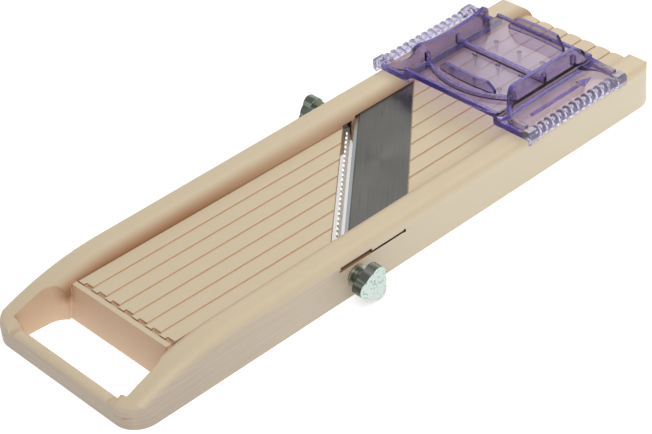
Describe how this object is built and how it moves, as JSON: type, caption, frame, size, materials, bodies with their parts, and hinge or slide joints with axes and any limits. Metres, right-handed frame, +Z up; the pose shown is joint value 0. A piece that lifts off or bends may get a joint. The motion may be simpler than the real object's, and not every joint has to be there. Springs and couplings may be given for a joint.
{
  "type": "mandoline slicer",
  "caption": "Hand-held kitchen slicer: moulded frame with handle opening, tilting grooved plate, diagonal blade, clamped comb blade and a clear sliding hand guard.",
  "frame": {"origin": "on the surface the frame stands on, half way along it, on its lengthwise middle plane", "axes": "+X from the handle to the open end, +Y to the side of the far thumb screw, +Z up"},
  "size_m": [0.306, 0.1143, 0.0354],
  "materials": {
    "cream_plastic": "satin moulded plastic, warm cream",
    "violet_clear": "clear violet-tinted moulded plastic",
    "blade_steel": "ground stainless steel",
    "screw_steel": "turned stainless steel",
    "knob_chrome": "bright nickel-chrome plate",
    "insert_brass": "turned brass"
  },
  "bodies": {
    "base": {"body_frame": "cream_plastic", "main_blade": "blade_steel", "blade_screws": "screw_steel", "bridge_bar": "blade_steel", "bridge_screws": "screw_steel", "near_insert": "insert_brass", "far_insert": "insert_brass"},
    "plate": {"front_plate": "cream_plastic", "plate_nut": "insert_brass"},
    "adjuster": {"adjuster_screw": "screw_steel", "adjuster_knob": "knob_chrome", "retaining_ring": "screw_steel"},
    "near_pad": {"near_clamp_pad": "screw_steel"},
    "near_clamp": {"near_clamp_stud": "screw_steel", "near_clamp_knob": "knob_chrome", "near_washer": "screw_steel"},
    "far_pad": {"far_clamp_pad": "screw_steel"},
    "far_clamp": {"far_clamp_stud": "screw_steel", "far_clamp_knob": "knob_chrome", "far_washer": "screw_steel"},
    "comb": {"comb_blade": "blade_steel"},
    "guard": {"hand_guard": "violet_clear"}
  },
  "joints": [
    {"name": "adjuster_turn", "type": "hinge", "parent": "base", "child": "adjuster", "pos_m": [-0.044, 0, 0], "axis": [0, 0, 1], "range_deg": [-75, 820]},
    {"name": "plate_tilt", "type": "hinge", "parent": "base", "child": "plate", "pos_m": [-0.1136, 0, 0.0104], "axis": [0, 1, 0], "range_deg": [-0.22, 2.36]},
    {"name": "near_clamp_slide", "type": "slide", "parent": "base", "child": "near_pad", "axis": [0, -1, 0], "range_m": [0, 0.00201]},
    {"name": "near_clamp_turn", "type": "hinge", "parent": "near_pad", "child": "near_clamp", "pos_m": [-0.0358, 0, 0.0089], "axis": [0, -1, 0], "range_deg": [0, 900]},
    {"name": "far_clamp_slide", "type": "slide", "parent": "base", "child": "far_pad", "axis": [0, 1, 0], "range_m": [0, 0.00201]},
    {"name": "far_clamp_turn", "type": "hinge", "parent": "far_pad", "child": "far_clamp", "pos_m": [0.034, 0, 0.0089], "axis": [0, 1, 0], "range_deg": [0, 900]},
    {"name": "comb_lift", "type": "slide", "parent": "base", "child": "comb", "axis": [0, 0, 1], "range_m": [0, 0.0034]},
    {"name": "guard_slide", "type": "slide", "parent": "base", "child": "guard", "axis": [1, 0, 0], "range_m": [-0.16, 0.012]}
  ],
  "couplings": [
    {"joint": "plate_tilt", "follows": "adjuster_turn", "ratio": 0.0028584},
    {"joint": "near_clamp_slide", "follows": "near_clamp_turn", "m_per_rad": 0.00012732},
    {"joint": "far_clamp_slide", "follows": "far_clamp_turn", "m_per_rad": 0.00012732}
  ]
}
